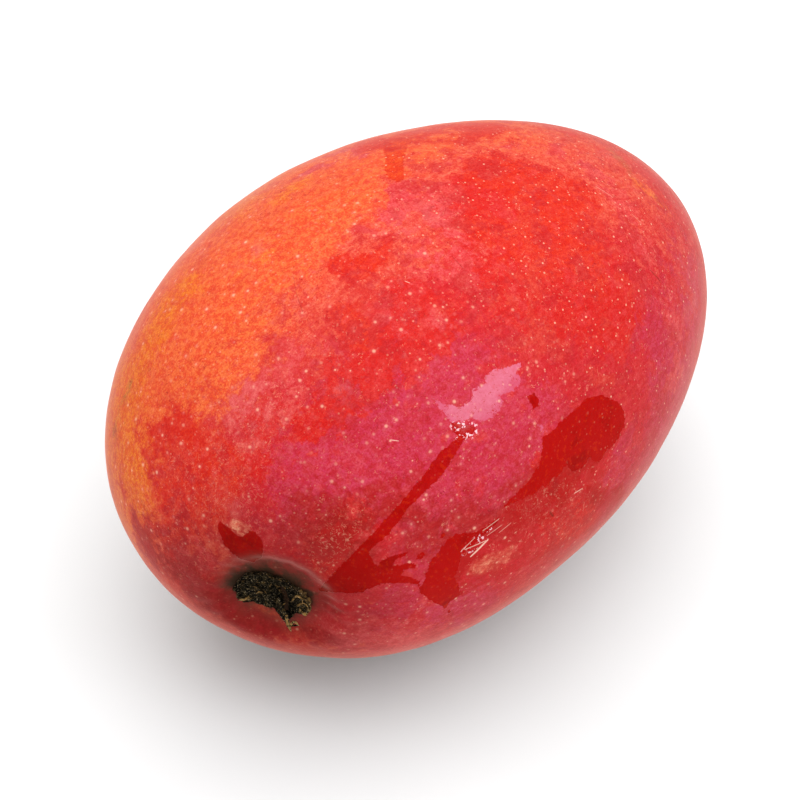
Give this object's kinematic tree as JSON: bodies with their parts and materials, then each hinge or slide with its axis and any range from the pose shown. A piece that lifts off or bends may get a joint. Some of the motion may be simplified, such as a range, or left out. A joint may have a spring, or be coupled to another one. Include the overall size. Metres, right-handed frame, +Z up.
{
  "type": "mango",
  "caption": "Whole ripe mango with red to orange skin and the torn dry stub of its stalk, lying on its side on a small flat spot.",
  "frame": {"origin": "on the surface the mango lies on, under the middle of its length and width", "axes": "+X along the fruit's length, from the stalk end to the far end; +Z up, across the fruit's least thickness"},
  "size_m": [0.1256, 0.0882, 0.0821],
  "materials": {
    "skin": "ripe mango skin: crimson and coral blush over yellow-orange, waxy bloom with a few wet-looking rubbed patches, cream pores",
    "stalk": "dry corky stalk tissue, near black, with torn tan fibres round its rim"
  },
  "bodies": {
    "root": {"fruit": "skin", "stalk_stub": "stalk"}
  },
  "joints": []
}
